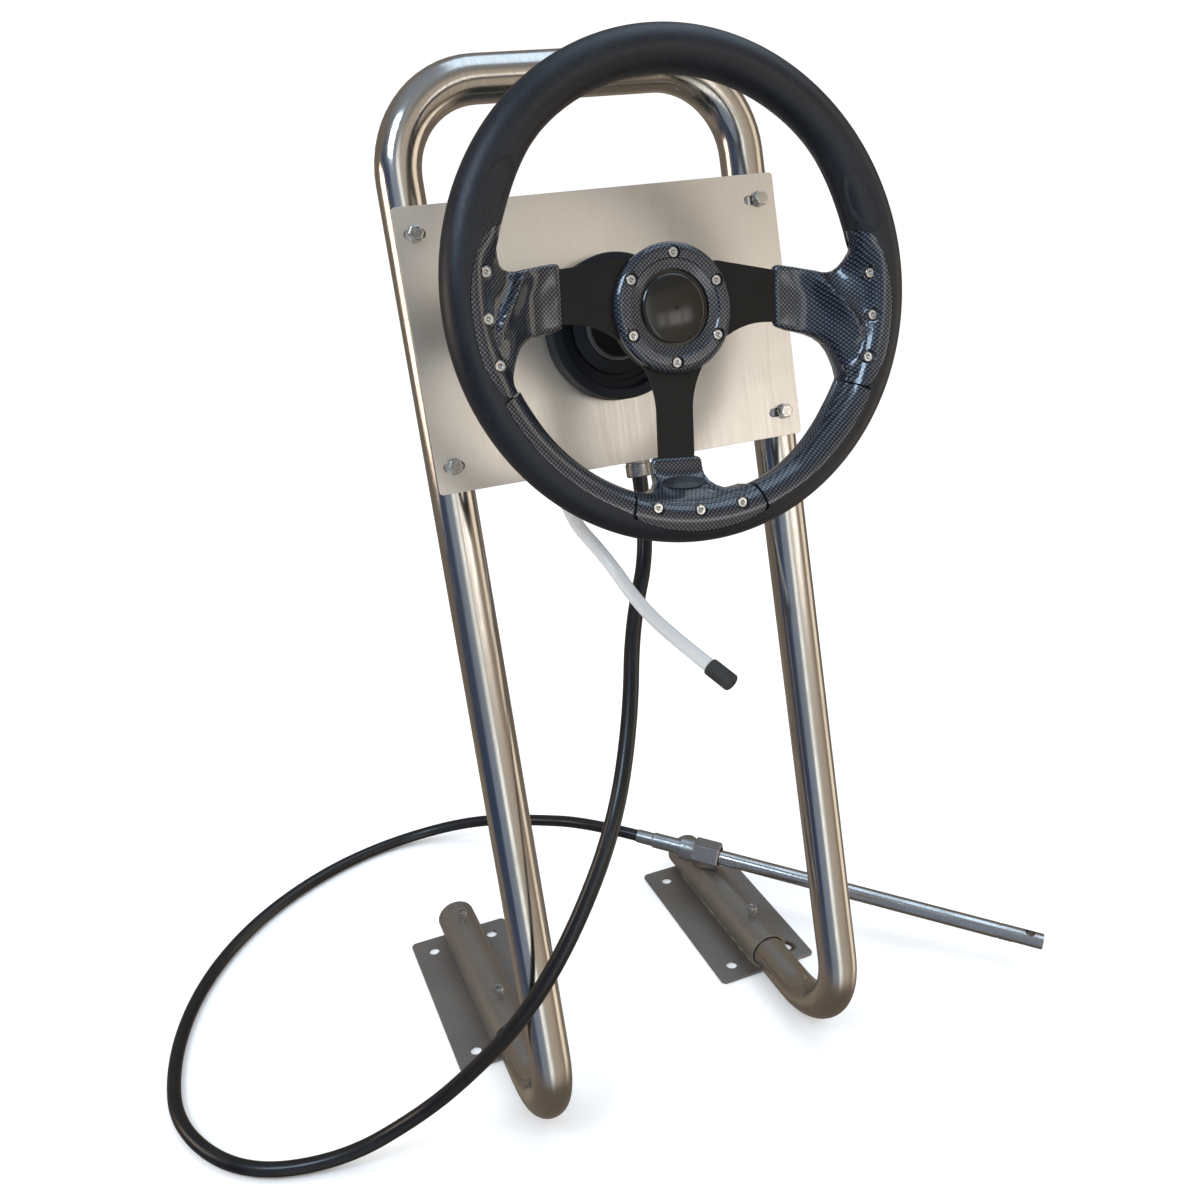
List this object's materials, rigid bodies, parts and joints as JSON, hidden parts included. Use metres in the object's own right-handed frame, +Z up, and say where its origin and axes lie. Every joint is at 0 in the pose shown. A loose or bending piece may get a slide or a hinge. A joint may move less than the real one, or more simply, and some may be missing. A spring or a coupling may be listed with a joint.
{
  "type": "boat steering helm",
  "caption": "Display stand of bent stainless tube with a dash panel, a geared cable helm, a three-spoke sport wheel, and its push-pull steering cable with ram.",
  "frame": {"origin": "centre of the object's own box without the cord pieces, on the floor", "axes": "+Z up, -Y towards the driver, +X to the driver's right"},
  "size_m": [0.8294, 0.5363, 0.8483],
  "materials": {
    "stainless_plate": "dull",
    "stainless_tube": "satin",
    "stainless_panel": "brushed",
    "fastener": "satin",
    "black_plastic": "matte",
    "housing_metal": "semi-gloss",
    "gear_steel": "satin",
    "bronze": "satin",
    "rubber": "matte",
    "spoke_black": "satin",
    "grip_black": "satin",
    "carbon_look": "gloss",
    "gloss_black": "gloss",
    "cable_black": "gloss",
    "end_steel": "satin",
    "white_tube": "translucent"
  },
  "bodies": {
    "root": {"left_base_plate": "stainless_plate", "right_base_plate": "stainless_plate", "left_sleeve": "stainless_plate", "right_sleeve": "stainless_plate", "clamp_screws": "fastener", "frame_tube": "stainless_tube", "panel_plate": "stainless_panel", "panel_bolts": "fastener", "panel_washers": "fastener", "panel_nuts": "fastener", "helm_bezel": "black_plastic", "helm_housing": "housing_metal", "mount_screws": "fastener", "rear_cover": "housing_metal", "cover_screws": "fastener", "front_bush": "bronze", "shaft_seal": "rubber", "ring_gear": "gear_steel", "inner_core": "gear_steel", "cable_coupler": "end_steel", "spent_tube_outlet": "black_plastic", "steering_cable": "cable_black", "cable_hub": "end_steel", "cable_nut": "end_steel", "guide_tube": "end_steel", "spent_tube": "white_tube", "spent_tube_cap": "black_plastic"},
    "wheel": {"input_shaft": "gear_steel", "shaft_key": "gear_steel", "sun_gear": "gear_steel", "hub_adapter": "spoke_black", "hub_washer": "fastener", "hub_nut": "fastener", "wheel_frame": "spoke_black", "rim_grip": "grip_black", "right_arc_trim": "carbon_look", "left_arc_trim": "carbon_look", "right_insert": "carbon_look", "left_insert": "carbon_look", "bottom_insert": "carbon_look", "oval_plate": "gloss_black", "insert_screws": "fastener", "hub_ring": "carbon_look", "ring_screws": "fastener", "stop_ring": "rubber"},
    "button": {"centre_button": "gloss_black"},
    "drum": {"cable_drum": "gear_steel", "drum_bush": "bronze", "planet_pins": "gear_steel"},
    "planet_1": {"planet_gear_1": "gear_steel"},
    "planet_2": {"planet_gear_2": "gear_steel"},
    "planet_3": {"planet_gear_3": "gear_steel"},
    "ram": {"steering_ram": "end_steel"}
  },
  "joints": [
    {"name": "wheel_turn", "type": "hinge", "parent": "root", "child": "wheel", "pos_m": [0, -0.00139, 0.65256], "axis": [0, -0.9659, 0.2588], "range_deg": [-1496.8, 0]},
    {"name": "button_press", "type": "slide", "parent": "wheel", "child": "button", "axis": [0, -0.9659, 0.2588], "range_m": [-0.002, 0], "stiffness_N_per_m": 400},
    {"name": "drum_turn", "type": "hinge", "parent": "root", "child": "drum", "pos_m": [0, 0.06526, 0.6347], "axis": [0, -0.9659, 0.2588], "range_deg": [-374.2, 0]},
    {"name": "planet_spin_1", "type": "hinge", "parent": "drum", "child": "planet_1", "pos_m": [0, 0.04867, 0.65778], "axis": [0, -0.9659, 0.2588], "range_deg": [0, 1122.6]},
    {"name": "planet_spin_2", "type": "hinge", "parent": "drum", "child": "planet_2", "pos_m": [-0.01559, 0.04168, 0.6317], "axis": [0, -0.9659, 0.2588], "range_deg": [0, 1122.6]},
    {"name": "planet_spin_3", "type": "hinge", "parent": "drum", "child": "planet_3", "pos_m": [0.01559, 0.04168, 0.6317], "axis": [0, -0.9659, 0.2588], "range_deg": [0, 1122.6]},
    {"name": "ram_slide", "type": "slide", "parent": "root", "child": "ram", "axis": [0.7182, -0.6912, -0.0802], "range_m": [0, 0.2286]}
  ],
  "couplings": [
    {"joint": "drum_turn", "follows": "wheel_turn", "ratio": 0.25},
    {"joint": "planet_spin_1", "follows": "wheel_turn", "ratio": -0.75},
    {"joint": "planet_spin_2", "follows": "wheel_turn", "ratio": -0.75},
    {"joint": "planet_spin_3", "follows": "wheel_turn", "ratio": -0.75},
    {"joint": "ram_slide", "follows": "wheel_turn", "m_per_rad": -0.00875}
  ]
}
